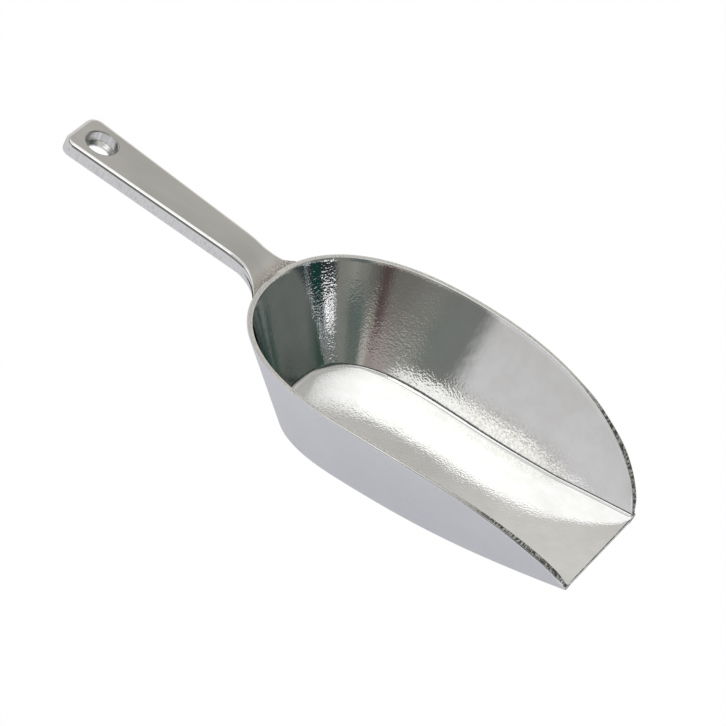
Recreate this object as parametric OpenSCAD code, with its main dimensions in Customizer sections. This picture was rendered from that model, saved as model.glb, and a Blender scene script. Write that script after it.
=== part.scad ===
// One-piece cast aluminium feed scoop, in its three named regions.
// Millimetres, +Z up. The origin is the middle of the flat patch of floor that the
// scoop rests on. The lip points along +X and the handle along -X.

/* [Floor outline] */
// Length of the floor, from the rounded back to the straight lip
bowl_l = 153; // [140:1:170]
// Width of the floor outline at its widest, measured outside the wall
floor_w = 75.6; // [68:0.2:84]
// Distance between the two sides at the lip, taken down to the resting face
nose_w = 54.1; // [48:0.2:60]
// Length of the rounded back part of the outline
back_l = 45.8; // [40:0.1:54]
// Squareness of the rounded back, where 2 is an ellipse
back_pow = 2.62; // [2.2:0.02:2.8]
// How late the sides close in towards the lip
side_pow = 1.83; // [1.4:0.01:2.2]

/* [Wall] */
// Lean of the wall at the back, from upright
back_draft = 31.7; // [24:0.1:36]
// Lean of the wall at the sides, from upright
side_draft = 28.0; // [20:0.1:32]
// Wall thickness, measured level across the ground rim
wall_t = 2.7; // [2:0.1:3.4]
// Inside fillet between wall and floor
in_fillet = 2.2; // [1:0.1:3]
// Outside radius where the wall turns under the floor
out_fillet = 2.6; // [1:0.1:3.5]

/* [Rim] */
// Height of the rim over the back edge of the floor
rim_h = 44.6; // [40:0.1:52]
// Rise of the rim towards the front, per millimetre of length
rim_slope = 0.016; // [0:0.001:0.04]
// Distance from the back of the floor at which the rim starts to fall
fall_start = 39.7; // [25:0.1:55]
// Fullness of the rim's curve where it starts to fall
fall_pow = 2.52; // [2:0.01:3.2]
// Steepness of the rim's curve where it meets the lip
end_pow = 1.62; // [1.3:0.01:2]
// Local lift of the rim where the handle's root runs into it
root_lift = 0.9; // [0:0.1:2]

/* [Floor and lip] */
// Floor thickness
floor_t = 2.8; // [2:0.1:3.4]
// Height of the lip's underside above the resting face
lip_rise = 9.1; // [4:0.1:12]
// Distance from the back of the floor at which its flat and sloping parts would meet
rise_at = 93.7; // [75:0.1:105]
// Half length of the smooth sweep that joins the flat and sloping parts
rise_blend = 27; // [10:1:30]

/* [Handle] */
// Reach of the handle behind the back edge of the floor
handle_l = 133.2; // [115:0.1:150]
// Width of the handle at its free end
end_w = 25.7; // [21:0.1:28]
// Width of the handle near its root
neck_w = 19.1; // [15:0.1:21]
// Thickness of the bar
bar_t = 6.9; // [6:0.1:9]
// Upward tilt of the bar
tilt = 5.48; // [3:0.01:9]
// Height of the bar's top above the rim, taken over the back edge of the floor
bar_rise = 2.9; // [2:0.1:4]
// Rounding of the bar's top edges
top_round = 1.6; // [0.8:0.1:1.8]
// Rounding of the bar's bottom edges
bot_round = 0.8; // [0.4:0.1:1.2]
// Corner radius at the free end
end_round = 5.4; // [4:0.1:7]

/* [Root] */
// Length of the flared root, back from the rim
flare_l = 11.2; // [9:0.1:14]
// Half width of the full flare curve, part of which is inside the rim
flare_y = 27; // [24:0.5:30]
// Length over which the bar's top sweeps down to the rim
sweep_l = 24.2; // [16:0.1:28]
// Extra depth of the web under the root, at the wall
web_drop = 8; // [4:0.5:10]

/* [Hang hole] */
// Distance of the hole's centre from the free end
hole_in = 13.1; // [12:0.1:16]
// Diameter of the upper bore
hole_d = 14.6; // [12:0.1:16]
// Diameter of the through opening at the bottom
hole_low_d = 10.7; // [8:0.1:11]
// Height of the land round the through opening
land_h = 1.0; // [0.8:0.1:1.4]

/* [Hidden] */

// All x values below run from the back of the floor; the origin lies this far in front of it.
origin_x = 42;

back_steps = 20;      // steps round half of the back
side_steps = 26;      // steps along one side
fillet_pts = 5;       // points on each wall fillet
nose_turn_l = 26;     // length behind the lip over which the outline's normals turn square
split_gap = 1.4;      // from the foot of the inside fillet in to the wall's inner edge
min_wall_rise = 0.25; // least height of the wall's top above the floor's upper face
fillet_share = 0.85;  // most of a low wall's height that the inside fillet may take
lift_w = 15;          // half width of the rim's lift, where it has dropped to 1/e
margin = 1;           // overlap of the shapes that are intersected for the floor

function clamp(v, low, high) = min(max(v, low), high);
function smooth(t) = let (c = clamp(t, 0, 1)) c * c * (3 - 2 * c);
function mix(a, b, t) = a * (1 - t) + b * t;

// ---- Heights along the length
function floor_z(x) = let (
    d = x - rise_at,
    slope = lip_rise / (bowl_l - rise_at))
    d < -rise_blend ? 0
    : d > rise_blend ? slope * d
    : slope * (d + rise_blend) * (d + rise_blend) / (4 * rise_blend);
function rim_z(x) = let (u = clamp((x - fall_start) / (bowl_l - fall_start), 0, 1))
    lip_rise + (rim_h - lip_rise + rim_slope * x)
        * pow(max(1 - pow(u, fall_pow), 0), 1 / end_pow);

rear_rim_z = rim_z(-20);   // the rim overhangs the back of the floor by about 20
function rim_lift(y) = root_lift * exp(-pow(y / lift_w, 2));
function rear_rim_at(y) = rear_rim_z + rim_lift(y);

// ---- Outline at the resting face
// A station is [x, y, normal x, normal y, tangent of the wall's lean].
function lean_tan(ny) = tan(back_draft) * (1 - ny * ny) + tan(side_draft) * ny * ny;
function make_station(x, y, direction) = let (normal = direction / norm(direction))
    [x, y, normal[0], normal[1], lean_tan(normal[1])];

// Rounded back: angle 0 on the axis, 90 at the widest point
function back_station(angle) = let (
    c = cos(angle),
    s = sin(angle),
    e = 2 / back_pow)
    make_station(back_l * (1 - pow(c, e)), floor_w / 2 * pow(s, e),
        [-floor_w / 2 * pow(c, 2 - e), back_l * pow(s, 2 - e)]);

// Side: fraction 0 at the widest point, 1 at the lip
function side_station(fraction) = let (
    u = sin(90 * fraction),
    run = bowl_l - back_l,
    closing = (floor_w - nose_w) / 2,
    x = back_l + run * u,
    slope = -closing * side_pow * pow(u, side_pow - 1) / run,
    turn = smooth((x - (bowl_l - nose_turn_l)) / nose_turn_l))
    make_station(x, floor_w / 2 - closing * pow(u, side_pow), [-slope * (1 - turn), 1]);

half_outline = concat(
    [for (i = [0 : back_steps]) back_station(90 * i / back_steps)],
    [for (i = [1 : side_steps]) side_station(i / side_steps)]);
half_count = len(half_outline);

// The whole outline, from the lip on the -Y side, round the back, to the lip on the +Y side
outline = concat(
    [for (i = [half_count - 1 : -1 : 1]) let (s = half_outline[i])
        [s[0], -s[1], s[2], -s[3], s[4]]],
    half_outline);

// Plan point a given distance outward from a station
function out_point(s, distance) = [s[0] + s[2] * distance, s[1] + s[3] * distance];

// Outward position of the split between floor and wall (negative is inward)
function split_out(s) = (floor_z(s[0]) + floor_t + in_fillet) * s[4] - wall_t
    - in_fillet * sqrt(1 + s[4] * s[4]) - split_gap;
function split_point(s) = out_point(s, split_out(s));

// Height at which the leaning outer face meets the rim curve, found by averaging
function outer_top_z(s, z, steps) = steps == 0 ? z
    : outer_top_z(s, 0.5 * z + 0.5 * rim_z(min(s[0] + s[2] * z * s[4], bowl_l)), steps - 1);
function wall_top(s) = max(
    outer_top_z(s, 20, 30) + (s[0] < back_l ? rim_lift(s[1]) : 0),
    floor_z(split_point(s)[0]) + floor_t + min_wall_rise);

// ---- Lofted solid through rings of equal length
// near_cap closes the first ring; the last ring gets the same faces turned over.
module loft(rings, near_cap) {
    n = len(rings[0]);
    last = (len(rings) - 1) * n;
    sides = [for (k = [0 : len(rings) - 2]) for (j = [0 : n - 1]) let (
        a = k * n + j,
        b = k * n + (j + 1) % n,
        c = b + n,
        d = a + n)
        each [[a, c, b], [a, d, c]]];
    far_cap = [for (f = near_cap) [last + f[0], last + f[2], last + f[1]]];
    polyhedron(
        points = [for (ring = rings) for (p = ring) p - [origin_x, 0, 0]],
        faces = concat(sides, near_cap, far_cap), convexity = 8);
}

// ---- Wall
// Arc of [outward, z] points from a level face at height z up to a face leaning outward
function fillet_arc(z, r, slope, inset) = let (
    lean = atan(slope),
    centre = [(z + r) * slope - inset - r / cos(lean), z + r])
    [for (i = [0 : fillet_pts - 1]) let (a = mix(-90, -lean, i / (fillet_pts - 1)))
        centre + r * [cos(a), sin(a)]];

// Wall section at a station, as [outward, z]: up the outer face, then down the inner face
function wall_section(s) = let (
    slope = s[4],
    under_z = floor_z(split_point(s)[0]),
    upper_z = under_z + floor_t,
    top = wall_top(s),
    inner_r = min(in_fillet, fillet_share * (top - upper_z) / (1 - sin(atan(slope)))),
    inner = fillet_arc(upper_z, inner_r, slope, wall_t))
    concat(
        [[split_out(s), under_z]],
        fillet_arc(under_z, out_fillet, slope, 0),
        [[top * slope, top], [top * slope - wall_t, top]],
        [for (i = [fillet_pts - 1 : -1 : 0]) inner[i]],
        [[split_out(s), upper_z]]);

module bowl_wall() {
    rings = [for (s = outline) [for (p = wall_section(s)) concat(out_point(s, p[0]), [p[1]])]];
    n = len(rings[0]);
    cap = [for (j = [0 : n / 2 - 2])
        each [[j, n - 2 - j, n - 1 - j], [j, j + 1, n - 2 - j]]];
    color([0.80, 0.81, 0.83]) loft(rings, cap);
}

// ---- Floor: its plan shape, cut from a strip that follows the floor's height
module bowl_floor() {
    edge = [for (s = half_outline) split_point(s)];
    plan = concat(edge, [for (i = [half_count - 1 : -1 : 1]) [edge[i][0], -edge[i][1]]]);
    xs = concat([edge[0][0] - margin],
        [for (p = edge) if (p[0] > rise_at - rise_blend) p[0]]);
    strip = concat([for (x = xs) [x, floor_z(x)]],
        [for (i = [len(xs) - 1 : -1 : 0]) [xs[i], floor_z(xs[i]) + floor_t]]);
    color([0.90, 0.90, 0.90]) translate([-origin_x, 0, 0])
    intersection() {
        translate([0, 0, -margin])
            linear_extrude(lip_rise + floor_t + 2 * margin) polygon(plan);
        rotate([90, 0, 0]) translate([0, 0, -floor_w / 2])
            linear_extrude(floor_w) polygon(strip);
    }
}

// ---- Handle
neck_at = 0.25;                 // place of the neck width, as a share of handle_l
flare_pow = 1.124;              // roundness of the flare's edge
sweep_pow = 3.1;                // sharpness of the top's sweep down to the rim
root_drop = 1.3;                // depth added under the whole width of the root
web_narrow = 1.6;               // narrowness of the web
web_pow = 1.5;                  // sharpness of the web's fade to either side
root_round = 1.08 * top_round;  // rounding of the top edges at the wall
bar_z = rim_h + bar_rise;       // top of the bar over the back edge of the floor
bar_l = handle_l / cos(tilt);   // length of the bar along its slope

function plane_z(x) = bar_z - x * tan(tilt);   // top plane of the bar
function bar_half_w(x) =
    mix(neck_w / 2, end_w / 2, (-x / handle_l - neck_at) / (1 - neck_at));

// Outer face of the back wall at height z, by back station angle
function wall_point(angle, z) = let (s = back_station(angle)) out_point(s, z * s[4]);
// Angle at which that face reaches half width y, by bisection
function wall_angle(y, z, low, high, steps) = let (mid = (low + high) / 2)
    steps == 0 ? mid
    : wall_point(mid, z)[1] < y ? wall_angle(y, z, mid, high, steps - 1)
    : wall_angle(y, z, low, mid, steps - 1);
function wall_x(y, z) = wall_point(wall_angle(abs(y), z, 0, 90, 24), z)[0];

flare_x = wall_x(0, rear_rim_z) - flare_l;     // where the flare starts
flare_end_x = wall_x(flare_y, rear_rim_z);
function flare_half_w(x) = x <= flare_x ? bar_half_w(x) : let (
    r = clamp((x - flare_x) / (flare_end_x - flare_x), 0, 1),
    s = pow(r, 1 / flare_pow),
    c = sqrt(max(1 - s * s, 0)))
    mix(bar_half_w(flare_x), flare_y, 1 - pow(c, flare_pow));

// Half width at which the flare's edge reaches the rim, by bisection
function find_root_w(low, high, steps) = let (mid = (low + high) / 2)
    steps == 0 ? mid
    : flare_half_w(wall_x(mid, rear_rim_z)) > mid ? find_root_w(mid, high, steps - 1)
    : find_root_w(low, mid, steps - 1);
root_half_w = find_root_w(neck_w / 2, flare_y - 1, 20);
root_edge_x = wall_x(root_half_w, rear_rim_z);

function bar_top(x, y) = let (
    d = clamp((wall_x(min(abs(y), root_half_w), rear_rim_z) - x) / sweep_l, 0, 1))
    mix(plane_z(x), rear_rim_at(y), pow(1 - d, sweep_pow));
// Underside of the root: across is y as a share of the half width, s is 1 at the wall
function root_bottom(x, across, s) = plane_z(x) - bar_t / cos(tilt) - root_drop * s
    - web_drop * s * s * pow(max(1 - across * across * web_narrow, 0), web_pow);

// Cross-section ring as [part, fraction]. Fractions run from +1 to -1 across the flats,
// and from 0 at the flat to 1 at the side on the rounds, signed as y.
TOP = 0;
TOP_ROUND = 1;
BOT_ROUND = 2;
BOT = 3;
flat_pts = 9;
round_steps = 4;
profile = concat(
    [for (i = [0 : flat_pts - 1]) [TOP, 1 - 2 * i / (flat_pts - 1)]],
    [for (i = [1 : round_steps]) [TOP_ROUND, -i / round_steps]],
    [for (i = [round_steps : -1 : 1]) [BOT_ROUND, -i / round_steps]],
    [for (i = [0 : flat_pts - 1]) [BOT, -1 + 2 * i / (flat_pts - 1)]],
    [for (i = [1 : round_steps]) [BOT_ROUND, i / round_steps]],
    [for (i = [round_steps : -1 : 1]) [TOP_ROUND, i / round_steps]]);
function on_top(p) = p[0] <= TOP_ROUND;

// [y, height from the top face for the upper parts, from the bottom face for the lower]
function profile_yz(p, half_w, upper_r) = let (
    r = on_top(p) ? upper_r : bot_round,
    up = on_top(p) ? 1 : -1,
    a = 90 * abs(p[1]))
    p[0] == TOP || p[0] == BOT ? [(half_w - r) * p[1], 0]
    : [sign(p[1]) * (half_w - r + r * sin(a)), up * r * (cos(a) - 1)];

// Free part: u is the distance along the bar, and sections are square to its top
flare_u = -flare_x / cos(tilt);
sweep_u = flare_u + sweep_l - flare_l;
free_stations = concat(
    [for (i = [0 : 8]) bar_l - end_round * (1 - cos(90 * i / 8))],
    [for (i = [1 : 9]) mix(bar_l - end_round, sweep_u, i / 9)],
    [for (i = [1 : 4]) mix(sweep_u, flare_u, i / 4)]);
function free_half_w(u) = let (
    w = bar_half_w(-u * cos(tilt)),
    d = u - (bar_l - end_round))
    d <= 0 ? w : w - end_round + sqrt(max(end_round * end_round - d * d, 0));
function free_point(u, p) = let (
    yz = profile_yz(p, free_half_w(u), top_round),
    h = on_top(p) ? yz[1] : yz[1] - bar_t,
    x = -u * cos(tilt) + h * sin(tilt))
    [x, yz[0], on_top(p) ? bar_top(x, yz[0]) + yz[1] * cos(tilt)
        : plane_z(x) - (bar_t - yz[1]) / cos(tilt)];

// Root: from the last free station to the wall's outer face
root_steps = 8;
function root_end(p) = let (
    yz = profile_yz(p, root_half_w, root_round),
    y = yz[0],
    z = yz[1] + (on_top(p) ? rear_rim_at(y)
        : root_bottom(wall_x(y, rear_rim_z), y / root_half_w, 1)))
    [wall_x(y, z), y, z];
function root_point(s, p) = let (
    start_x = flare_x - (on_top(p) ? 0 : bar_t * sin(tilt)),
    x = mix(start_x, root_end(p)[0], s),
    half_w = flare_half_w(mix(flare_x, root_edge_x, s)),
    yz = profile_yz(p, half_w, mix(top_round, root_round, s)),
    y = yz[0])
    [x, y, yz[1] + (on_top(p) ? bar_top(x, y) : root_bottom(x, y / half_w, s))];

module bar_body() {
    rings = concat(
        [for (u = free_stations) [for (p = profile) free_point(u, p)]],
        [for (k = [1 : root_steps - 1]) [for (p = profile) root_point(k / root_steps, p)]],
        [[for (p = profile) root_end(p)]]);
    // The cap pairs the upper half of the ring with the lower half, from side to side.
    n = len(profile);
    first = flat_pts - 1 + round_steps;
    cap = [for (j = [0 : n / 2 - 2]) let (
        a = (first - j + n) % n,
        b = first + 1 + j,
        c = (first - j - 1 + n) % n,
        d = first + 2 + j)
        each [[a, b, c], [b, d, c]]];
    loft(rings, cap);
}

// Hang hole cutter, with z = 0 at the bar's top
shoulder_h = 1;   // height of the sloping shoulder
ease_depth = 0.4; // depth of the eased top edge
ease_h = 1.4;     // height and spread of its 45 degree cone
module hang_hole() {
    bore_h = bar_t - land_h - shoulder_h;
    translate([0, 0, -ease_depth])
        cylinder(h = ease_h, r1 = hole_d / 2, r2 = hole_d / 2 + ease_h, $fn = 96);
    translate([0, 0, -bore_h]) cylinder(h = bore_h, d = hole_d, $fn = 96);
    translate([0, 0, -(bar_t - land_h)])
        cylinder(h = shoulder_h, d1 = hole_low_d, d2 = hole_d, $fn = 96);
    // through opening, 2 below the bar and 0.1 into the shoulder
    translate([0, 0, -(bar_t + 2)]) cylinder(h = land_h + 2.1, d = hole_low_d, $fn = 96);
}

module handle() {
    color([0.62, 0.61, 0.59])
    difference() {
        bar_body();
        translate([-origin_x, 0, bar_z]) rotate([0, tilt, 0])
            translate([-(bar_l - hole_in), 0, 0]) hang_hole();
    }
}

handle();
bowl_wall();
bowl_floor();
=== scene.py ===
# Cast aluminium scoop: a flat-floored bowl with an open lip, and a bar handle with a hang hole.
# It lies along X, lip toward +X and handle toward -X, symmetric about Y = 0, its floor's
# underside rising from Z = 0. Shapes are worked out in mm with x = 0 at the back of the
# bowl's plan, then moved by ORIGIN_X into the frame.
import bpy
import bmesh
import math
import numpy as np
from mathutils import Matrix, Vector


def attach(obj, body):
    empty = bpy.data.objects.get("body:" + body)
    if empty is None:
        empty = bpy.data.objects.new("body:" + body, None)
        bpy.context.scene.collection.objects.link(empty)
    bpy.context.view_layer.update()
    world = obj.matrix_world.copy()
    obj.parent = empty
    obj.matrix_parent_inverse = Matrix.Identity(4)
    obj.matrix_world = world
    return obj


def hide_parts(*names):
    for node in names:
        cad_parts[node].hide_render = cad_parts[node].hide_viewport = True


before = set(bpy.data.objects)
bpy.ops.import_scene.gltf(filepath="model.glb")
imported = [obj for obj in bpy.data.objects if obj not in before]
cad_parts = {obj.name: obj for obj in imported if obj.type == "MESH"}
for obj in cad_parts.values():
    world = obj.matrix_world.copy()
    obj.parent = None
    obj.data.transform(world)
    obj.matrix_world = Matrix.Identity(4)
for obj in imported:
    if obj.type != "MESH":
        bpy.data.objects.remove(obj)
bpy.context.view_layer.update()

# ---------------------------------------------------------------- dimensions (mm)
MM = 0.001             # metres in a millimetre
ORIGIN_X = 42.0        # the frame's origin, from the back of the plan

# plan at Z = 0: a superellipse round the back, then sides closing toward the lip
BOWL_L, BACK_L, BACK_HALF_W, LIP_HALF_W = 153.0, 45.8, 37.8, 27.05
BACK_EXP = 2 / 2.62
SIDE_POW = 1.83
LIP_BLEND = 26         # the side normals turn square to X over this length
BACK_LEAN, SIDE_LEAN = math.tan(math.radians(31.7)), math.tan(math.radians(28.0))

WALL_T, FLOOR_T = 2.7, 2.8
INNER_FOOT_R, OUTER_FOOT_R = 2.2, 2.6
JOINT_INSET = 1.4      # wall and floor meet this far inside the inner foot's centre
MIN_WALL_H = 0.25
EDGE_R = 0.50          # polished edge of the ground rim
LIP_EDGE_R = 0.36      # rounded edges along the lip

# rim: falls from FALL_X to the lip; lifted a little where the handle joins
RIM_H, RIM_SLOPE, FALL_X, FALL_POW, FALL_ROOT = 44.6, 0.016, 39.7, 2.52, 1.62
ROOT_LIFT, ROOT_LIFT_W = 0.9, 15
# floor: level, then ramps up to the lip, the bend spread over RISE_HALF each way
LIP_RISE, RISE_X, RISE_HALF = 9.1, 93.7, 27.0
FLOOR_SLOPE = LIP_RISE / (BOWL_L - RISE_X)

# handle bar
HANDLE_L, END_W, NECK_W, BAR_T = 133.2, 25.7, 19.1, 6.9
TILT, BAR_RISE = math.radians(5.48), 2.9
NECK_AT = 0.25         # where the bar is NECK_W wide, as a fraction of its length
TOP_R, UNDER_R, END_R = 1.9, 0.8, 5.4
# root of the bar: flares to the wall, its top sweeps to the rim, a web hangs below
FLARE_L, FLARE_HALF_W, FLARE_EXP = 11.2, 27.0, 1.124
SWEEP_L, SWEEP_POW = 24.2, 3.1
ROOT_DROP, WEB, WEB_NARROWING = 1.3, 8.0, 1.6
SINK = 0.3             # the root's top meets the wall this far under the rim
BURY = 1.2             # the root runs on this far into the wall

# hang hole: upper bore, shoulder, and a smaller bore through the bottom land
HOLE_FROM_END, HOLE_R, LOW_R, LAND, HOLE_EASE = 13.1, 7.3, 5.35, 1.0, 0.55
HOLE_SEGMENTS = 128

# material slots: of the bowl's wall and floor, then of the handle
OUTER, EDGE, RIM, INNER, JOINT = range(5)
UNDER, _, TOP, SIDE, BORE = range(5)


# ---------------------------------------------------------------- shared helpers
def smooth(t):
    t = np.clip(t, 0, 1)
    return t * t * (3 - 2 * t)


def rise(x, start, over):
    """Smooth 0..1 from start over a length; a negative length rises toward the back."""
    return float(smooth((x - start) / over))


def mix(a, b, t):
    return a * (1 - t) + b * t


def between(count):
    """Fractions 0..1 in count even steps, without the two ends."""
    return np.linspace(0, 1, count)[1:-1]


def tube_faces(rings, size):
    """Quads joining closed rings of vertices that follow one another."""
    faces = []
    for k in range(rings - 1):
        for j in range(size):
            a, b = k * size + j, k * size + (j + 1) % size
            faces.append((a, b, b + size, a + size))
    return faces


def make(name, verts, faces, kinds=None, sharp=None):
    """Smooth mesh object from points in mm; kinds gives each face's material index."""
    mesh = bpy.data.meshes.new(name)
    points = [tuple(v) for v in np.asarray(verts) * MM]
    mesh.from_pydata(points, [], [tuple(int(i) for i in f) for f in faces])
    mesh.update()
    if kinds:
        mesh.polygons.foreach_set("material_index", [int(k) for k in kinds])
    bm = bmesh.new()
    bm.from_mesh(mesh)
    bmesh.ops.remove_doubles(bm, verts=bm.verts, dist=2e-7)
    bmesh.ops.recalc_face_normals(bm, faces=bm.faces)
    bm.to_mesh(mesh)
    bm.free()
    shade_smooth(mesh, sharp)
    ob = bpy.data.objects.new(name, mesh)
    bpy.context.scene.collection.objects.link(ob)
    return ob


def shade_smooth(mesh, sharp=None):
    for p in mesh.polygons:
        p.use_smooth = True
    if sharp:
        mesh.set_sharp_from_angle(angle=math.radians(sharp))


# ---------------------------------------------------------------- bowl outline
def floor_z(x):
    """Height of the floor's underside."""
    d = np.asarray(x, float) - RISE_X
    bend = FLOOR_SLOPE * (d + RISE_HALF) ** 2 / (4 * RISE_HALF)
    return np.where(d < -RISE_HALF, 0, np.where(d > RISE_HALF, FLOOR_SLOPE * d, bend))


def rim_z(x):
    u = np.clip((np.asarray(x, float) - FALL_X) / (BOWL_L - FALL_X), 0, 1)
    height = RIM_H - LIP_RISE + RIM_SLOPE * x
    return LIP_RISE + height * np.maximum(1 - u ** FALL_POW, 0) ** (1 / FALL_ROOT)


def lean(ny):
    """Outward lean of the wall (run over rise) for a plan normal's y part."""
    return BACK_LEAN * (1 - ny * ny) + SIDE_LEAN * ny * ny


def back_outline(angle):
    """Plan x, y, normal x, normal y and lean round the back; angle 0 is at the handle."""
    c, s = np.maximum(np.cos(angle), 0), np.sin(angle)
    x, y = BACK_L * (1 - c ** BACK_EXP), BACK_HALF_W * s ** BACK_EXP
    nx, ny = -BACK_HALF_W * c ** (2 - BACK_EXP), BACK_L * s ** (2 - BACK_EXP)
    n = np.hypot(nx, ny)
    return x, y, nx / n, ny / n, lean(ny / n)


def side_outline(x):
    """The same values along the side."""
    u = (x - BACK_L) / (BOWL_L - BACK_L)
    narrowing = BACK_HALF_W - LIP_HALF_W
    y = BACK_HALF_W - narrowing * u ** SIDE_POW
    slope = -narrowing * SIDE_POW * u ** (SIDE_POW - 1) / (BOWL_L - BACK_L)
    nx = -slope * (1 - smooth((x - (BOWL_L - LIP_BLEND)) / LIP_BLEND))
    n = np.hypot(nx, 1)
    return x, y, nx / n, 1 / n, lean(1 / n)


def stations(back_count, side_count):
    back = back_outline(np.linspace(0, math.pi / 2, back_count))
    f = np.linspace(0, 1, side_count + 1)[1:]
    side = side_outline(BACK_L + (BOWL_L - BACK_L) * np.sin(f * math.pi / 2))
    return [np.concatenate(pair) for pair in zip(back, side)]


def rim_height(x, y, nx, t):
    """Rim height over each station, solved where the leaning wall meets rim_z."""
    z = np.full_like(x, 20.0)
    for _ in range(60):
        z = 0.5 * z + 0.5 * rim_z(np.minimum(x + nx * z * t, BOWL_L))
    return z + ROOT_LIFT * np.exp(-(y / ROOT_LIFT_W) ** 2) * (x < BACK_L)


def joint_offset(x, t):
    """Outward offset from the plan of the joint between wall and floor."""
    foot = (floor_z(x) + FLOOR_T + INNER_FOOT_R) * t
    return foot - WALL_T - INNER_FOOT_R * np.sqrt(1 + t * t) - JOINT_INSET


PLAN_X, PLAN_Y, NORMAL_X, NORMAL_Y, LEAN = stations(back_count=72, side_count=120)
JOINT_OUT = joint_offset(PLAN_X, LEAN)
JOINT_X, JOINT_Y = PLAN_X + NORMAL_X * JOINT_OUT, PLAN_Y + NORMAL_Y * JOINT_OUT
UNDER_Z = floor_z(JOINT_X)
RIM_Z = np.maximum(rim_height(PLAN_X, PLAN_Y, NORMAL_X, LEAN), UNDER_Z + FLOOR_T + MIN_WALL_H)


# ---------------------------------------------------------------- bowl wall
def extra_lean(x):
    """Added lean of the wall's inside."""
    return (0.004 * rise(x, start=48.0, over=-14.0) + 0.004 * rise(x, start=92.0, over=14.0)
            + 0.009 * rise(x, start=103.0, over=12.0))


def fatten(x):
    """The rim is left thicker toward the lip and dressed back at its very corner."""
    grown = 0.55 * rise(x, start=98.0, over=14.0) + 0.75 * rise(x, start=118.0, over=16.0)
    return grown * (1 - rise(x, start=149.5, over=3.5))


def inner_foot_r(x):
    return 3.7 - 1.2 * rise(x, start=60.0, over=70.0)


def hollow(x, u, height):
    """Hollowing of the inside at fraction u of its height, deepest halfway up."""
    depth = 0.33 + 0.35 * rise(x, start=34.0, over=-20.0)     # for a wall 42 mm high
    power = 2 - rise(x, start=92.0, over=18.0)
    return depth * (height / 42.0) ** power * 4 * u * (1 - u)


def arc(centre, radius, start, end, count, region, next_region=None):
    """Section points round a centre; the last point begins next_region if given."""
    points = [(centre[0] + radius * math.cos(a), centre[1] + radius * math.sin(a), region)
              for a in np.linspace(start, end, count)]
    if next_region is not None:
        points[-1] = (*points[-1][:2], next_region)
    return points


def wall_section(i):
    """Closed section at station i as (outward, z, region).

    It runs under the floor, up the outside, over the rim and down the inside.
    """
    x, t, joint, z_under, z_rim = PLAN_X[i], LEAN[i], JOINT_OUT[i], UNDER_Z[i], RIM_Z[i]
    quarter = math.pi / 2
    angle = math.atan(t)
    z_floor = z_under + FLOOR_T
    height = z_rim - z_floor
    # outer foot and outside
    foot_z = z_under + OUTER_FOOT_R
    foot = (foot_z * t - OUTER_FOOT_R / math.cos(angle), foot_z)
    points = [(joint, z_under, OUTER), (mix(joint, foot[0], 0.5), z_under, OUTER)]
    points += arc(foot, OUTER_FOOT_R, -quarter, -angle, 12, OUTER)
    z_start = points[-1][1]
    r = min(EDGE_R, 0.2 * height + 0.1)
    fat = fatten(x)
    outer = ((z_rim - r) * t - r / math.cos(angle) + fat, z_rim - r)
    z_end = outer[1] - r * math.sin(angle)
    for s in between(15):
        z = mix(z_start, z_end, s)
        points.append((z * t + fat * s ** 1.5, z, OUTER))
    # rim
    points += arc(outer, r, -angle, quarter, 7, EDGE, RIM)
    t_in = t + extra_lean(x)
    angle = math.atan(t_in)
    thick = WALL_T + z_rim * (t_in - t)
    inner = ((z_rim - r) * t_in - thick + r / math.cos(angle), z_rim - r)
    points += [(mix(outer[0], inner[0], s), z_rim, RIM) for s in between(6)]
    points += arc(inner, r, quarter, math.pi - angle, 6, EDGE, INNER)
    # inside and inner foot
    z_start = points[-1][1]
    room = 0.85 * max(z_start - z_floor, 0.05) / (1 - math.sin(angle))
    r = min(inner_foot_r(x), room)
    foot = ((z_floor + r) * t_in - thick - r / math.cos(angle), z_floor + r)
    z_end = foot[1] - r * math.sin(angle)
    for s in between(26):
        z = mix(z_start, z_end, s)
        points.append((z * t_in - thick + hollow(x, 1 - s, z_start - z_end), z, INNER))
    points += arc(foot, r, -angle, -quarter, 14, INNER)
    points.append((mix(joint, foot[0], 0.5), z_floor, INNER))
    points.append((joint, z_floor, JOINT))
    return points


def build_wall():
    """Wall from the lip at -Y, round the back, to the lip at +Y."""
    n = len(PLAN_X)
    sections = [wall_section(i) for i in range(n)]
    size = len(sections[0])
    regions = [p[2] for p in sections[n // 2]]
    order = [(i, -1) for i in range(n - 1, 0, -1)] + [(i, 1) for i in range(n)]
    verts = []
    for i, side in order:
        for out, z, _ in sections[i]:
            x = PLAN_X[i] + NORMAL_X[i] * out - ORIGIN_X
            verts.append((x, side * (PLAN_Y[i] + NORMAL_Y[i] * out), z))
    faces = tube_faces(len(order), size)
    last = (len(order) - 1) * size
    faces += [tuple(range(size)), tuple(range(last + size - 1, last - 1, -1))]
    kinds = regions * (len(order) - 1) + [RIM, RIM]
    return make("bowl_wall_cast", verts, faces, kinds, sharp=38)


# ---------------------------------------------------------------- bowl floor
def dish(x):
    """Dishing of the floor's top across its width, a little deeper at the back."""
    return 0.35 + 0.30 * (1 - rise(x, start=36.0, over=32.0))


def lip_profile(z_top, z_bottom):
    """Lip from top to bottom as (x, z, region): rounded edge, ground face, rounded edge."""
    r = LIP_EDGE_R

    def edge(a, z, sign):
        x = BOWL_L - r + r * math.sin(a)
        return x, z + sign * r * (1 - math.cos(a)) - FLOOR_SLOPE * r * math.cos(a), RIM

    points = [edge(a, z_top, -1) for a in np.linspace(0, math.pi / 2, 6)]
    points[-1] = (*points[-1][:2], JOINT)
    points += [(BOWL_L, mix(z_top - r, z_bottom + r, s), JOINT) for s in between(4)]
    return points + [edge(a, z_bottom, 1) for a in np.linspace(math.pi / 2, 0, 6)]


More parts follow.
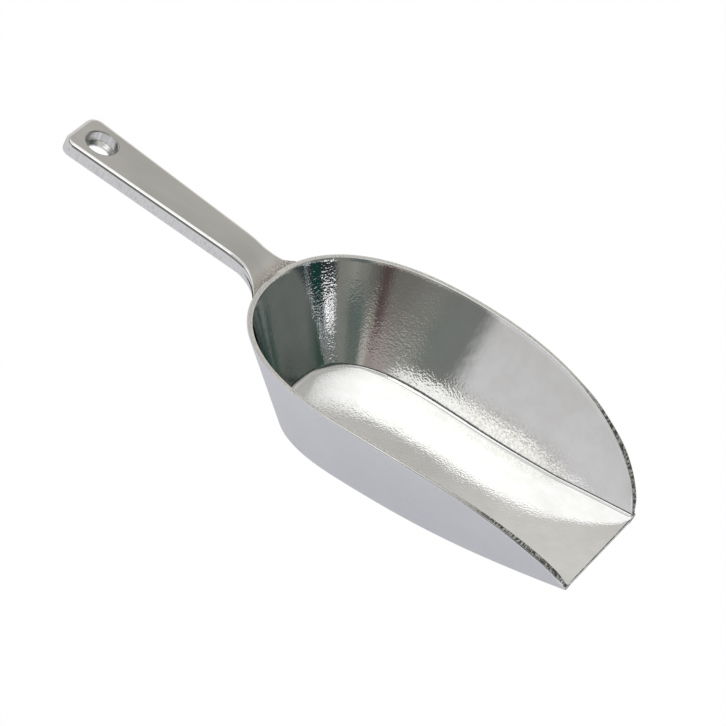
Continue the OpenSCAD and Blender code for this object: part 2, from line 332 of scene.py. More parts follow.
def build_floor():
    """Floor plate inside the joint, with rows of points across Y from the back to the lip."""
    across = np.sin(np.linspace(-1, 1, 33) * math.pi / 2)
    n = len(across)
    verts, faces, kinds = [], [], []

    def row(x, y, z, depth=0.0):
        start = len(verts)
        for v in across:
            verts.append((x - ORIGIN_X, v * y, z - depth * (1 - v * v)))
        return start

    def strip(a, b, kind):
        for j in range(n - 1):
            faces.append((a + j, b + j, b + j + 1, a + j + 1))
            kinds.append(kind)

    lip_start = BOWL_L - LIP_EDGE_R
    plan = [(x, y) for x, y in zip(JOINT_X, JOINT_Y) if x < lip_start]
    # the dishing eases in over the first 30 stations
    tops = [row(x, y, float(floor_z(x)) + FLOOR_T, dish(x) * float(smooth(i / 30)))
            for i, (x, y) in enumerate(plan)]
    bottoms = [row(x, y, float(floor_z(x))) for x, y in plan]
    for a, b in zip(tops[:-1], tops[1:]):
        strip(a, b, INNER)
    for a, b in zip(bottoms[:-1], bottoms[1:]):
        strip(b, a, OUTER)
    # lip
    z_bottom = float(floor_z(BOWL_L))
    z_top = z_bottom + FLOOR_T
    y_start, y_end = float(np.interp(lip_start, JOINT_X, JOINT_Y)), float(JOINT_Y[-1])
    ends = [tops[-1]]
    kind = INNER
    for x, z, next_kind in lip_profile(z_top, z_bottom):
        depth = dish(BOWL_L) if z > (z_top + z_bottom) / 2 + 0.4 else 0.0
        y = mix(y_start, y_end, (x - BOWL_L + LIP_EDGE_R) / LIP_EDGE_R)
        current = row(x, y, z, depth)
        strip(ends[-1], current, kind)
        ends.append(current)
        kind = next_kind
    strip(ends[-1], bottoms[-1], OUTER)
    ends.append(bottoms[-1])
    # sides, the two ends of the lip, and the back
    count = len(faces)
    for a, b, c, d in zip(tops[:-1], tops[1:], bottoms[:-1], bottoms[1:]):
        faces += [(a, b, d, c), (a + n - 1, b + n - 1, d + n - 1, c + n - 1)]
    faces += [tuple(ends), tuple(e + n - 1 for e in reversed(ends))]
    back_bottom = [bottoms[0] + j for j in range(n - 1, -1, -1)]
    faces.append(tuple([tops[0] + j for j in range(n)] + back_bottom))
    kinds += [JOINT] * (len(faces) - count)
    return make("bowl_floor_cast", verts, faces, kinds, sharp=38)


# ---------------------------------------------------------------- handle shape
BAR_Z = RIM_H + BAR_RISE                 # the bar's top plane at x = 0
COS_TILT, SIN_TILT, TAN_TILT = math.cos(TILT), math.sin(TILT), math.tan(TILT)
BAR_L = HANDLE_L / COS_TILT              # length along the slope
BACK_CURVE = back_outline(np.linspace(0, math.pi / 2, 4000))


def wall_x(y, z):
    """x of the wall's outer face round the back."""
    x, plan_y, nx, ny, t = BACK_CURVE
    return float(np.interp(abs(y), plan_y + ny * z * t, x + nx * z * t))


BACK_RIM_Z = float(rim_z(-20.0))
FLARE_START = wall_x(0, BACK_RIM_Z) - FLARE_L
FLARE_END = wall_x(FLARE_HALF_W, BACK_RIM_Z)


def rim_at(y):
    return BACK_RIM_Z + ROOT_LIFT * math.exp(-(y / ROOT_LIFT_W) ** 2)


def plane_z(x):
    return BAR_Z - x * TAN_TILT


def bar_half_w(x):
    return mix(NECK_W / 2, END_W / 2, (-x / HANDLE_L - NECK_AT) / (1 - NECK_AT))


def flare_half_w(x):
    if x <= FLARE_START:
        return bar_half_w(x)
    u = min(max((x - FLARE_START) / (FLARE_END - FLARE_START), 0), 1)
    s = u ** (1 / FLARE_EXP)
    c = math.sqrt(max(1 - s * s, 0))
    return mix(bar_half_w(FLARE_START), FLARE_HALF_W, 1 - c ** FLARE_EXP)


def find_root_half_w():
    """Half width at which the flare meets the wall, by bisection."""
    low, high = NECK_W / 2, FLARE_HALF_W - 1
    for _ in range(40):
        middle = (low + high) / 2
        if flare_half_w(wall_x(middle, BACK_RIM_Z)) > middle:
            low = middle
        else:
            high = middle
    return low


ROOT_HALF_W = find_root_half_w()
ROOT_X = wall_x(ROOT_HALF_W, BACK_RIM_Z)
END_CENTRE = BAR_L - END_R               # centre of the end corners, along the bar
END_FLAT = bar_half_w(-END_CENTRE * COS_TILT) - END_R


def bar_top(x, y):
    d = (wall_x(min(abs(y), ROOT_HALF_W), BACK_RIM_Z) - x) / SWEEP_L
    return mix(plane_z(x), rim_at(y), (1 - min(max(d, 0), 1)) ** SWEEP_POW)


def bar_bottom(x, v, s):
    """Underside at v across the half width and s along the root."""
    web = WEB * s * s * max(1 - v * v * WEB_NARROWING, 0) ** 1.5
    return plane_z(x) - BAR_T / COS_TILT - ROOT_DROP * s - web


def side_profile():
    """One side of the section, from top flat to bottom flat, as (inset, depth, region)."""
    out = [(TOP_R * (1 - math.sin(a)), TOP_R * (1 - math.cos(a)), EDGE)
           for a in np.linspace(0, math.pi / 2, 9)]
    out[-1] = (*out[-1][:2], SIDE)
    out += [(0.0, mix(TOP_R, BAR_T - UNDER_R, s), SIDE) for s in between(5)]
    out += [(UNDER_R * (1 - math.sin(a)), BAR_T - UNDER_R * (1 - math.cos(a)), EDGE)
            for a in np.linspace(math.pi / 2, 0, 6)]
    out[-1] = (*out[-1][:2], UNDER)
    return out


PROFILE = side_profile()
# fractions of the half width across the flats, +1 to -1, closer together at the edges
ACROSS = np.sin(np.linspace(1, -1, 25) * math.pi / 2 * 0.9) / math.sin(math.pi / 2 * 0.9)


def ring(point):
    """Section ring from point(fraction across, inset, depth), starting at +Y on top."""
    places = [(f, PROFILE[0]) for f in ACROSS]
    places += [(-1, p) for p in PROFILE[1:]]
    places += [(f, PROFILE[-1]) for f in ACROSS[::-1][1:]]
    places += [(1, p) for p in PROFILE[-2:0:-1]]
    return [point(f, inset, depth) for f, (inset, depth, _) in places]


def bar_point(u, y, depth):
    """Point of the free bar at u along it, at y, and depth under its top face."""
    x = -u * COS_TILT - depth * SIN_TILT
    z = bar_top(x, y) if depth < BAR_T * 0.5 else plane_z(x)
    return x - ORIGIN_X, y, float(z - depth / COS_TILT)


def end_ring(angle):
    def point(f, inset, depth):
        r = END_R - inset
        y = f * (END_FLAT + r * math.cos(angle))
        return bar_point(END_CENTRE + r * math.sin(angle), y, depth)
    return ring(point)


def bar_ring(u):
    half_w = bar_half_w(-u * COS_TILT)
    return ring(lambda f, inset, depth: bar_point(u, f * (half_w - inset), depth))


def root_ring(s, bury=0.0):
    """Section at s from the start of the flare (0) to the wall's outer face (1)."""
    half_w = flare_half_w(mix(FLARE_START, ROOT_X, s))

    def point(f, inset, depth):
        top = depth < BAR_T * 0.5
        wall_y = f * (ROOT_HALF_W - inset)
        x_rim = wall_x(wall_y, BACK_RIM_Z)
        if top:
            wall_z = rim_at(wall_y) - SINK - depth
        else:
            wall_z = float(bar_bottom(x_rim, wall_y / ROOT_HALF_W, 1)) + BAR_T - depth
        x = mix(FLARE_START - depth * SIN_TILT, wall_x(wall_y, wall_z), s)
        y = f * (half_w - inset)
        if top:
            z = float(bar_top(x, y)) - SINK * s * s * s - depth
        else:
            z = float(bar_bottom(min(x, x_rim), y / half_w, s)) + BAR_T - depth
        return x + bury - ORIGIN_X, y, z
    return ring(point)


def build_hole_cutter():
    """Turned cutter: eased top edge, upper bore, sloping shoulder and lower bore."""
    wide = HOLE_R + HOLE_EASE
    shoulder = -(BAR_T - LAND)
    # (radius, height over the bar's top face), from the top down
    profile = [(0.0, 3.0), (wide, 3.0), (wide, 0.05)]
    profile += [(HOLE_R + HOLE_EASE * (1 - math.sin(a)), -HOLE_EASE * (1 - math.cos(a)))
                for a in np.linspace(0, math.pi / 2, 6)]
    profile += [(HOLE_R - 0.05, shoulder + 1.45), (HOLE_R - 0.25, shoulder + 1.1),
                (LOW_R + 0.35, shoulder + 0.12), (LOW_R, shoulder - 0.2),
                (LOW_R, -BAR_T - 2.0), (0.0, -BAR_T - 2.0)]
    verts = []
    for r, z in profile:
        for i in range(HOLE_SEGMENTS):
            a = 2 * math.pi * i / HOLE_SEGMENTS
            verts.append((r * math.cos(a), r * math.sin(a), z))
    faces = tube_faces(len(profile), HOLE_SEGMENTS)
    cutter = make("hole_cutter", verts, faces, [BORE] * len(faces))
    u = BAR_L - HOLE_FROM_END
    centre = Vector((-u * COS_TILT - ORIGIN_X, 0, BAR_Z + u * SIN_TILT)) * MM
    cutter.data.transform(Matrix.Translation(centre) @ Matrix.Rotation(TILT, 4, "Y"))
    return cutter


def build_bar():
    n, flat = len(PROFILE), len(ACROSS)
    side_kinds = [p[2] for p in PROFILE[:-1]]
    ring_kinds = [TOP] * (flat - 1) + side_kinds + [UNDER] * (flat - 1) + side_kinds[::-1]
    u_root = -FLARE_START / COS_TILT
    u_sweep = u_root + SWEEP_L - FLARE_L
    along = [*np.linspace(END_CENTRE, u_sweep, 56)[1:], *np.linspace(u_sweep, u_root, 26)[1:]]
    root_steps = 40
    rings = [end_ring(a) for a in np.linspace(math.pi / 2, 0, 13)]
    rings += [bar_ring(u) for u in along]
    rings += [root_ring(k / root_steps) for k in range(1, root_steps + 1)]
    rings.append(root_ring(1.0, bury=BURY))
    size = len(rings[0])
    verts = [p for r in rings for p in r]
    faces = tube_faces(len(rings), size)
    kinds = ring_kinds * (len(rings) - 1)
    # end face: a grid of profile depth by width
    base = len(verts)
    for inset, depth, _ in PROFILE:
        verts += [bar_point(BAR_L - inset, f * END_FLAT, depth) for f in ACROSS]
    for k in range(n - 1):
        for j in range(flat - 1):
            a = base + k * flat + j
            faces.append((a, a + 1, a + flat + 1, a + flat))
            kinds.append(PROFILE[k][2])
    # the buried end of the root
    last = (len(rings) - 1) * size
    low = flat + n - 2                       # the bottom flat's first point
    for j in range(flat - 1):
        b = low + flat - 1 - j
        faces.append((last + j, last + j + 1, last + b - 1, last + b))
    faces.append(tuple(last + j for j in range(flat - 1, low + 1)))
    faces.append(tuple([last] + [last + j for j in range(size - 1, low + flat - 2, -1)]))
    kinds += [UNDER] * (flat + 1)
    return make("handle_cast", verts, faces, kinds)


def build_handle(placeholders):
    """Bar with the hang hole cut; placeholders keep the slots apart through the cut."""
    bar, cutter = build_bar(), build_hole_cutter()
    for ob in (bar, cutter):
        for q in placeholders:
            ob.data.materials.append(q)
    cut = bar.modifiers.new("hole", "BOOLEAN")
    cut.operation = "DIFFERENCE"
    cut.solver = "EXACT"
    cut.object = cutter
    depsgraph = bpy.context.evaluated_depsgraph_get()
    mesh = bpy.data.meshes.new_from_object(bar.evaluated_get(depsgraph))
    bar.modifiers.clear()
    bar.data = mesh
    bpy.data.objects.remove(cutter)
    shade_smooth(mesh, sharp=32)
    shading = bar.modifiers.new("shading", "WEIGHTED_NORMAL")
    shading.keep_sharp = True
    return bar


placeholders = [bpy.data.materials.new("slot%d" % q) for q in range(5)]
wall = build_wall()
bowl_floor = build_floor()
handle = build_handle(placeholders)
for ob, node, slot in ((wall, "bowl_wall", "polished_aluminium"),
                       (bowl_floor, "bowl_floor", "polished_aluminium"),
                       (handle, "handle", "ground_aluminium")):
    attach(ob, "root")
    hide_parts(node)


# ---------------------------------------------------------------- node helpers
class Tree:
    def __init__(self, owner):
        owner.use_nodes = True
        self.tree = owner.node_tree
        self.tree.nodes.clear()

    def node(self, kind, *values, props=None, **inputs):
        """New node; values fill its first inputs, the rest go by name."""
        n = self.tree.nodes.new(kind)
        for k, v in (props or {}).items():
            setattr(n, k, v)
        for k, v in (*enumerate(values), *inputs.items()):
            self.put(n.inputs[k if isinstance(k, int) else k.replace("_", " ")], v)
        return n

    def put(self, socket, v):
        if isinstance(v, bpy.types.NodeSocket):
            self.tree.links.new(v, socket)
        else:
            socket.default_value = (*v, 1) if isinstance(v, tuple) else v

    def math(self, op, *values):
        return self.node("ShaderNodeMath", *values, props={"operation": op}).outputs[0]

    def mul(self, a, b):
        return self.math("MULTIPLY", a, b)

    def ramp(self, x, span, to=(0.0, 1.0), kind="SMOOTHSTEP"):
        """x over span mapped to the values in to, held outside."""
        props = {"interpolation_type": kind, "clamp": True}
        return self.node("ShaderNodeMapRange", x, *span, *to, props=props).outputs[0]

    def band(self, x, span, soft):
        """1 inside span, easing to 0 over soft on both sides."""
        a, b = span
        return self.mul(self.ramp(x, (a - soft, a + soft)), self.ramp(x, (b + soft, b - soft)))

    def mix(self, factor, low, high, blend="MIX"):
        n = self.node("ShaderNodeMix", factor, props={"data_type": "RGBA", "blend_type": blend})
        self.put(n.inputs[6], low)
        self.put(n.inputs[7], high)
        return n.outputs[2]

    def noise(self, vec, scale, detail=2.0, rough=0.5):
        return self.node("ShaderNodeTexNoise", Vector=vec, Scale=scale, Detail=detail,
                         Roughness=rough).outputs[0]

    def stretch(self, vec, x=1, y=1, z=1):
        n = self.node("ShaderNodeMapping", props={"vector_type": "TEXTURE"}, Vector=vec)
        n.inputs["Scale"].default_value = (x, y, z)
        return n.outputs[0]

    def split(self, vec):
        return self.node("ShaderNodeSeparateXYZ", Vector=vec).outputs

    def bump(self, height, distance, normal=None):
        n = self.node("ShaderNodeBump", Height=height, Distance=distance, Strength=1.0)
        if normal is not None:
            self.put(n.inputs["Normal"], normal)
        return n.outputs[0]

    def shader(self, kind, *values, **inputs):
        return self.node("ShaderNode" + kind, *values, **inputs).outputs[0]

    def out(self, shader, kind="ShaderNodeOutputMaterial"):
        self.node(kind, Surface=shader)

    def metal(self, colour, rough, normal):
        self.out(self.shader("BsdfPrincipled", Metallic=1.0, Base_Color=colour, Roughness=rough,
                             Normal=normal))


def material(name):
    """New material, its tree and the object coordinates (metres)."""
    m = bpy.data.materials.new(name)
    t = Tree(m)
    return m, t, t.node("ShaderNodeTexCoord").outputs["Object"]


# ---------------------------------------------------------------- materials
def cast_bright():
    """Bright polished inside: mirror-like, over the fine orange-peel skin of the casting."""
    m, t, p = material("cast_bright_inside")
    x, y, z = t.split(p)
    fine = t.noise(p, scale=1120.0, detail=0.8)
    wave = t.noise(p, scale=240.0, detail=1.0, rough=0.4)
    # the skin shows most at the back and along the foot of the wall
    back = t.ramp(x, span=(0.004, -0.016))
    foot = t.ramp(z, span=(0.019, 0.010))
    patch = t.ramp(t.noise(p, scale=45.0), span=(0.38, 0.62), to=(0.75, 1.15))
    skin = t.math("MAXIMUM", t.mul(back, 1.35), foot)
    skin = t.math("MAXIMUM", skin, t.ramp(y, span=(0.004, -0.012), to=(0.045, 0.10)))
    n = t.bump(wave, distance=0.8e-5)
    n = t.bump(fine, distance=t.mul(t.mul(skin, patch), 2.7e-5), normal=n)
    haze = t.ramp(t.noise(p, scale=110.0, detail=3.0, rough=0.6), span=(0.35, 0.7))
    col = t.mix(haze, low=(0.93, 0.935, 0.94), high=(0.88, 0.88, 0.875))
    # low on the walls the skin is coarser and duller, more so toward the lip
    steep = t.split(t.node("ShaderNodeNewGeometry").outputs["True Normal"])[2]
    low = t.mul(foot, t.ramp(steep, span=(0.85, 0.6)))
    toward_lip = t.ramp(x, span=(-0.010, 0.050), to=(0.35, 1.0))
    low = t.mul(low, t.mul(toward_lip, t.ramp(x, span=(0.084, 0.066))))
    pits = t.noise(t.stretch(p, z=2.0), scale=1150.0, rough=0.6)
    pitted = t.ramp(pits, span=(0.42, 0.58))
    col = t.mix(low, col, t.mix(pitted, low=(0.70, 0.69, 0.66), high=(0.92, 0.92, 0.90)))
    hazy = t.ramp(haze, span=(0, 1), to=(0.015, 0.035))
    t.metal(col, rough=t.math("ADD", hazy, t.mul(foot, 0.02)), normal=n)
    return m


def cast_satin():
    """Satin outside: brushed soft, with faint clouding and fine lines up the wall."""
    m, t, p = material("cast_satin_outside")
    cloud = t.noise(p, scale=30.0, detail=3.0, rough=0.55)
    fine = t.noise(t.stretch(p, z=7), scale=2600.0, rough=0.6)
    grain = t.noise(p, scale=1400.0)
    n = t.bump(fine, distance=3.0e-6, normal=t.bump(grain, distance=5.0e-6))
    col = t.mix(t.ramp(cloud, span=(0.3, 0.7)), low=(0.91, 0.915, 0.925), high=(0.87, 0.88, 0.90))
    t.metal(col, rough=t.ramp(cloud, span=(0.3, 0.75), to=(0.20, 0.28)), normal=n)
    return m


def edge_polish():
    """Narrow edges, worn bright."""
    m, t, p = material("edge_worn_bright")
    nick = t.noise(p, scale=900.0, detail=3.0, rough=0.7)
    n = t.bump(nick, distance=0.8e-5)
    col = t.mix(t.ramp(nick, span=(0.45, 0.7)), low=(0.95, 0.95, 0.945), high=(0.86, 0.85, 0.84))
    t.metal(col, rough=t.ramp(nick, span=(0.3, 0.7), to=(0.04, 0.09)), normal=n)
    return m


def rim_ground():
    """Ground rim: sanding marks, speckled where pores have filled."""
    m, t, p = material("rim_ground")
    x = t.split(p)[0]
    mark = t.noise(p, scale=2100.0, detail=3.0, rough=0.65)
    pore = t.noise(p, scale=1300.0, rough=0.6)
    n = t.bump(mark, distance=3.0e-5)
    col = t.mix(t.ramp(pore, span=(0.45, 0.66)), low=(0.97, 0.965, 0.95), high=(0.66, 0.65, 0.63))
    # toward the lip it is coarsely filed, and painted shade darkens it there, near black between
    # the marks
    front_painted_shade = t.ramp(x, span=(0.052, 0.080))
    hatch = t.noise(t.stretch(p, y=4, z=2), scale=1450.0, rough=0.7)
    hatch = t.ramp(hatch, span=(0.44, 0.60))
    col = t.mix(front_painted_shade, col, t.mix(hatch, low=(0.08, 0.085, 0.08), high=(0.58, 0.59, 0.58)))
    t.metal(col, rough=t.ramp(pore, span=(0.35, 0.7), to=(0.20, 0.34)), normal=n)
    return m


def under_cast():
    """Underside: as cast, blasted and lightly buffed."""
    m, t, p = material("underside_as_cast")
    skin = t.noise(p, scale=900.0, detail=3.0, rough=0.6)
    cloud = t.noise(p, scale=40.0, detail=3.0)
    n = t.bump(skin, distance=1.6e-5)
    col = t.mix(t.ramp(cloud, span=(0.3, 0.7)), low=(0.82, 0.825, 0.83), high=(0.74, 0.74, 0.735))
    t.metal(col, rough=t.ramp(cloud, span=(0.3, 0.7), to=(0.28, 0.38)), normal=n)
    return m


def bar_top_ground():
    """Top of the bar: belt ground along its length and buffed, a warm grey satin."""
    m, t, p = material("bar_top_satin")
    x = t.split(p)[0]
    line = t.noise(t.stretch(p, x=14), scale=2200.0, rough=0.6)
    cloud = t.noise(t.stretch(p, x=3), scale=60.0, detail=3.0)
    grain = t.noise(p, scale=1500.0)
    # by the bowl the cast skin is left rough and brownish
    root = t.mul(t.ramp(x, span=(-0.0745, -0.0690)), t.ramp(grain, span=(0.35, 0.6)))
    n = t.bump(grain, distance=t.ramp(root, span=(0, 1), to=(3e-6, 4e-5)))
    n = t.bump(line, distance=3.5e-6, normal=n)
    broad = t.noise(t.stretch(p, x=2), scale=26.0, detail=3.0, rough=0.6)
    col = t.mix(t.ramp(cloud, span=(0.3, 0.7)), low=(0.83, 0.82, 0.80), high=(0.73, 0.72, 0.70))
    darker = t.mix(0.5, col, high=(0.60, 0.60, 0.58))
    col = t.mix(t.ramp(broad, span=(0.35, 0.65)), col, darker)
    col = t.mix(root, col, high=(0.40, 0.35, 0.31))
    t.metal(col, rough=t.ramp(cloud, span=(0.3, 0.7), to=(0.20, 0.27)), normal=n)
    return m


def bar_side_ground():
    """Sides of the bar: rough vertical grinding marks."""
    m, t, p = material("bar_side_ground")
    mark = t.noise(t.stretch(p, z=6), scale=2600.0, rough=0.6)
    pit = t.noise(p, scale=700.0, detail=3.0, rough=0.65)
    n = t.bump(mark, distance=1.5e-5, normal=t.bump(pit, distance=0.9e-5))
    col = t.mix(t.ramp(mark, span=(0.45, 0.68)), low=(0.95, 0.95, 0.945), high=(0.79, 0.785, 0.78))
    col = t.mix(t.ramp(pit, span=(0.62, 0.72), to=(0.0, 0.5)), col, high=(0.25, 0.24, 0.23))
    t.metal(col, rough=t.ramp(mark, span=(0.3, 0.7), to=(0.28, 0.42)), normal=n)
    return m


def hole_bore():
    """Drilled bore: fine turned rings and a few dark streaks."""
    m, t, p = material("hole_bore")
    x, y, _ = t.split(p)
    rings = t.noise(t.stretch(p, x=6, y=6), scale=3000.0, rough=0.6)
    streak = t.noise(t.stretch(p, z=12), scale=500.0, rough=0.6)
    n = t.bump(rings, distance=6e-6)
    col = t.mix(t.ramp(streak, span=(0.45, 0.7)), low=(0.90, 0.90, 0.89), high=(0.62, 0.62, 0.61))
    # painted shade: a thin dark ring on the outer part of the hole's eased mouth
    centre_x = (-(BAR_L - HOLE_FROM_END) * COS_TILT - ORIGIN_X) * MM
    dx = t.math("SUBTRACT", x, centre_x)
    radius = t.math("SQRT", t.math("ADD", t.mul(dx, dx), t.mul(y, y)))
    mouth_painted_shade = t.ramp(radius, span=((HOLE_R + 0.15) * MM, (HOLE_R + 0.4) * MM))
    t.metal(t.mix(mouth_painted_shade, col, high=(0.25, 0.245, 0.23)), rough=0.24, normal=n)
    return m


def dress(ob, mats):
    """Fills the object's slots in order; faces keep their material index."""
    for i, q in enumerate(mats):
        if i < len(ob.data.materials):
            ob.data.materials[i] = q
        else:
            ob.data.materials.append(q)


bright, satin, edge, rim, under = (
    cast_bright(), cast_satin(), edge_polish(), rim_ground(), under_cast())
bar_top_mat, bar_side_mat, bore = bar_top_ground(), bar_side_ground(), hole_bore()
dress(wall, (satin, edge, rim, bright, under))
dress(bowl_floor, (under, edge, rim, bright, bar_side_mat))    # the last is the lip's face
dress(handle, (under, edge, bar_top_mat, bar_side_mat, bore))
for q in placeholders:
    bpy.data.materials.remove(q)

# ---------------------------------------------------------------- world
# Tones of the room by bearing: (degrees from +Y toward +X, red, green, blue).
MID = (
    (46, 0.10, 0.12, 0.11), (60, 0.05, 0.06, 0.06), (63, 0.05, 0.06, 0.06),
    (65.5, 0.80, 0.82, 0.85), (71, 0.60, 0.62, 0.65), (73, 0.015, 0.03, 0.04),
    (80, 0.012, 0.035, 0.04), (83, 0.12, 0.12, 0.12), (86, 1.6, 1.58, 1.6),
    (97, 1.2, 1.18, 1.18), (100.5, 0.22, 0.22, 0.21), (106, 0.19, 0.195, 0.175),
    (111, 0.18, 0.19, 0.17), (117, 0.105, 0.13, 0.12), (128, 0.10, 0.13, 0.12),
    (134, 0.17, 0.18, 0.165), (139, 0.25, 0.24, 0.20), (142.5, 0.22, 0.20, 0.175),
    (146, 0.10, 0.07, 0.065), (150.5, 0.12, 0.095, 0.088), (157, 0.20, 0.18, 0.165),
    (180, 0.21, 0.21, 0.19), (187, 0.175, 0.19, 0.175), (193.5, 0.18, 0.19, 0.18))
SPREAD = (
    (46, 0.06, 0.07, 0.07), (61, 0.08, 0.09, 0.09), (65, 1.05, 1.07, 1.10),
    (72, 0.85, 0.86, 0.90), (80, 0.55, 0.56, 0.57), (86, 1.15, 1.14, 1.15),
    (95, 0.95, 0.94, 0.94), (99, 0.17, 0.17, 0.16), (106, 0.18, 0.185, 0.165))
HIGH = (
    (46, 0.20, 0.20, 0.20), (66, 0.30, 0.31, 0.31), (76, 0.16, 0.175, 0.17),
    (88, 0.15, 0.165, 0.155), (104, 0.20, 0.205, 0.185), (110, 0.20, 0.205, 0.185),
    (118, 0.12, 0.145, 0.13), (128, 0.12, 0.145, 0.13), (138, 0.42, 0.40, 0.37),
    (146, 0.30, 0.26, 0.25), (156, 0.34, 0.30, 0.29), (180, 0.33, 0.33, 0.31),
    (190, 0.20, 0.205, 0.19))
LOW = (
    (46, 0.10, 0.12, 0.11), (62, 0.05, 0.055, 0.055), (67, 0.20, 0.21, 0.21),
    (71, 0.010, 0.03, 0.025), (76, 0.002, 0.05, 0.034), (81, 0.002, 0.035, 0.022),
    (85, 0.012, 0.016, 0.013), (90, 0.03, 0.03, 0.03), (94, 0.05, 0.05, 0.05),
    (97, 0.06, 0.065, 0.06), (104, 0.21, 0.205, 0.19), (119, 0.25, 0.255, 0.23),
    (127, 0.20, 0.20, 0.185), (138, 0.125, 0.125, 0.115), (147, 0.085, 0.06, 0.055),
    (156, 0.155, 0.15, 0.135), (186, 0.19, 0.19, 0.18))


def tones(w, bearing, stops, gain=1.0):
    """Tones round the room, easing from each stop to the next."""
    colours = [tuple(v * gain for v in stop[1:]) for stop in stops]
    c = colours[0]
    for before, after, colour in zip(stops[:-1], stops[1:], colours[1:]):
        c = w.mix(w.ramp(bearing, (before[0], after[0])), c, colour)
    return c


def room_colour(w, direction, bearing, height):
    """The dim room toward +X and behind the camera, with a few lighter panels."""
    # height over a line that bows, highest (20.5 degrees) at bearing 148
    bow = w.math("SUBTRACT", bearing, 148.0)
    line = w.math("SUBTRACT", 20.5, w.mul(w.mul(bow, bow), 0.0018))
    over = w.math("SUBTRACT", height, line)
    room = w.mix(w.ramp(over, span=(-1.4, -0.2)), tones(w, bearing, LOW, gain=0.95),
                 tones(w, bearing, MID, gain=0.95))
    spread = w.mul(w.ramp(over, span=(0.0, 0.8)), w.ramp(bearing, span=(104.0, 98.0)))
    room = w.mix(spread, room, tones(w, bearing, SPREAD))
    # dark leaves break up the panels
    leaf = w.ramp(w.noise(direction, scale=34.0, rough=0.6), span=(0.53, 0.45))
    leaf = w.mul(leaf, w.band(bearing, span=(62.0, 98.0), soft=2.0))
    room = w.mix(leaf, room, high=(0.02, 0.035, 0.035))
    room = w.mix(w.ramp(over, span=(1.3, 2.8)), room, tones(w, bearing, HIGH))
    # higher up, the +X side evens out, with streaks of green foliage through it
    even = w.mix(w.ramp(bearing, span=(95.0, 107.0)), low=(0.050, 0.078, 0.066),
                 high=(0.138, 0.150, 0.140))
    above = w.ramp(height, span=(20.0, 26.0))
    room = w.mix(w.mul(above, w.ramp(bearing, span=(135.0, 115.0))), room, even)
    green = w.noise(w.stretch(direction, z=5), scale=15.0, rough=0.55)
    above = w.mul(w.ramp(height, span=(20.0, 26.0)), w.ramp(bearing, span=(106.0, 92.0)))
    green = w.mul(above, w.ramp(green, span=(0.50, 0.60), to=(0.0, 0.75)))
    room = w.mix(green, room, high=(0.008, 0.045, 0.030))
    # a white-grey wall behind the camera's left
    white = w.mix(w.ramp(over, span=(-4.0, 4.0)), low=(0.50, 0.492, 0.48), high=(0.61, 0.60, 0.605))
    place = w.mul(w.ramp(bearing, span=(194.4, 196.8)), w.ramp(height, span=(33.0, 27.0)))
    room = w.mix(place, room, white)
    # a dark belt over it all, darkest in its middle
    belt = w.mix(w.band(height, span=(37.0, 42.5), soft=1.5), low=(0.10, 0.115, 0.105),
                 high=(0.012, 0.015, 0.013))
    return w.mix(w.band(height, span=(33.5, 50.0), soft=2.5), room, belt)


def overhead_colour(w, azimuth, bearing, height):
    """Overhead soft box: brighter with height, its edge lower toward -X."""
    swing = w.math("MINIMUM", w.math("MAXIMUM", azimuth, -60.0), 50.0)
    up = w.math("SUBTRACT", height, w.math("ADD", 63.0, w.mul(swing, 0.3)))
    low, middle, high = (w.ramp(up, span, to, kind="LINEAR") for span, to in (
        ((-6.0, 0.0), (0.42, 0.79)), ((0.0, 8.0), (0.0, 0.28)), ((8.0, 26.0), (0.0, 0.18))))
    glow = w.math("ADD", low, w.math("ADD", middle, high))
    grey = w.shader("CombineColor", Red=glow, Green=glow, Blue=glow)
    over = w.mix(1.0, grey, high=(1.0, 0.995, 0.97), blend="MULTIPLY")
    # not physical: a grey area seen by the first bounces only, so the level floor reads
    depth = w.node("ShaderNodeLightPath").outputs["Ray Depth"]
    early = w.math("LESS_THAN", depth, 2.5)
    flank = w.band(bearing, span=(235.0, 310.0), soft=15.0)
    flank = w.mul(flank, w.ramp(height, span=(56.0, 64.0)))
    area = w.math("MAXIMUM", w.ramp(height, span=(79.0, 84.0)), flank)
    grey = w.mix(w.ramp(bearing, span=(150.0, 330.0)), low=(0.50, 0.505, 0.50),
                 high=(0.68, 0.68, 0.67))
    return w.mix(w.mul(area, early), over, grey)


def build_world():
    world = bpy.data.worlds.new("studio")
    bpy.context.scene.world = world
    w = Tree(world)
    direction = w.node("ShaderNodeTexCoord").outputs["Generated"]
    dx, dy, dz = w.split(direction)
    degrees = 57.29578
    azimuth = w.mul(w.math("ARCTAN2", dx, dy), degrees)      # 0 along +Y, 90 along +X
    bearing = w.math("MODULO", w.math("ADD", azimuth, 360.0), 360.0)
    height = w.mul(w.math("ARCSINE", dz), degrees)
    # a pale warm sweep, going darker as it rises
    sky = w.mix(w.ramp(height, span=(31.0, 41.0)), low=(0.64, 0.625, 0.59), high=(0.45, 0.44, 0.42))
    place = w.mul(w.band(bearing, span=(46.0, 262.0), soft=12.0),
                  w.band(height, span=(-40.0, 52.0), soft=7.0))
    sky = w.mix(place, sky, room_colour(w, direction, bearing, height))
    # a bright strip under the soft box, from behind the camera round to -X
    strip = w.mul(w.ramp(height, span=(46.0, 56.0)),
                  w.band(bearing, span=(120.0, 300.0), soft=30.0))
    sky = w.mix(strip, sky, high=(1.15, 1.15, 1.15))
    sky = w.mix(w.ramp(height, span=(55.0, 62.5)), sky,
                overhead_colour(w, azimuth, bearing, height))
    camera_ray = w.node("ShaderNodeLightPath").outputs["Is Camera Ray"]
    sky = w.mix(camera_ray, sky, high=(1.0, 1.0, 1.0))
    w.out(w.shader("Background", Color=sky, Strength=1.0), "ShaderNodeOutputWorld")


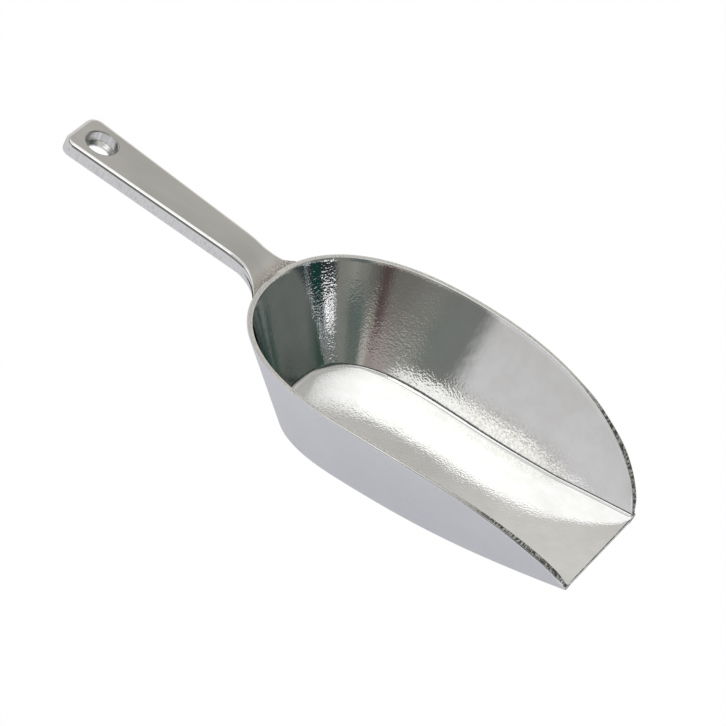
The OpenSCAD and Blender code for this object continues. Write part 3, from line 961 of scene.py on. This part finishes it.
# ---------------------------------------------------------------- studio floor
def pale_floor():
    """Matt and softly glowing; near white to the camera, and clear from below."""
    m, t, p = material("pale_floor")
    camera_ray = t.node("ShaderNodeLightPath").outputs["Is Camera Ray"]
    tone = t.mix(t.noise(p, scale=6.0), low=(0.80, 0.81, 0.86), high=(0.77, 0.78, 0.83))
    matt = t.shader("BsdfDiffuse", Color=tone, Roughness=0.5)
    white = t.shader("Emission", Color=(1.0, 1.0, 1.0), Strength=1.0)
    white_share, glow_share = 0.994, 0.50
    shown = t.shader("MixShader", white_share, matt, white)
    glow = t.shader("Emission", Color=(0.80, 0.80, 0.83), Strength=1.0)
    soft = t.shader("MixShader", glow_share, matt, glow)
    top = t.shader("MixShader", camera_ray, soft, shown)
    below = t.node("ShaderNodeNewGeometry").outputs["Backfacing"]
    t.out(t.shader("MixShader", below, top, t.shader("BsdfTransparent")))
    return m


def build_studio_floor():
    """Flat disc in widening rings, just under the bowl."""
    segments, drop = 48, -0.15
    radii = [20.0 * 1.35 ** i for i in range(16)]
    angles = [2 * math.pi * i / segments for i in range(segments)]
    verts = [(r * math.cos(a), r * math.sin(a), drop) for r in radii for a in angles]
    faces = [tuple(range(segments))]
    faces += [(a, d, c, b) for a, b, c, d in tube_faces(len(radii), segments)]
    table = make("studio_floor", verts, faces)
    table.data.materials.append(pale_floor())
    for q in table.data.polygons:
        if q.normal.z < 0:
            q.flip()


# ---------------------------------------------------------------- camera
def build_camera():
    """Long lens, looking from -Y, a little toward +X and above, and rolled."""
    azimuth, elevation, roll = (math.radians(a) for a in (17.359, 37.366, 20.833))
    target, distance = Vector((-20.3082, 10.6641, 22.5)), 1973.421      # mm
    cam = bpy.data.cameras.new("camera")
    ob = bpy.data.objects.new("camera", cam)
    bpy.context.scene.collection.objects.link(ob)
    back = Vector((math.sin(azimuth) * math.cos(elevation),
                   -math.cos(azimuth) * math.cos(elevation), math.sin(elevation)))
    right = Vector((math.cos(azimuth), math.sin(azimuth), 0))
    up = back.cross(right)
    rolled_right = right * math.cos(roll) + up * math.sin(roll)
    rolled_up = -right * math.sin(roll) + up * math.cos(roll)
    matrix = Matrix((rolled_right, rolled_up, back)).transposed().to_4x4()
    matrix.translation = (target + back * distance) * MM
    ob.matrix_world = matrix
    cam.sensor_width = 36
    cam.sensor_fit = "HORIZONTAL"
    cam.lens = 227.7570248
    cam.clip_start, cam.clip_end = 0.05, 20
    bpy.context.scene.camera = ob


build_world()
build_studio_floor()
build_camera()
bpy.context.scene.view_settings.view_transform = "Standard"
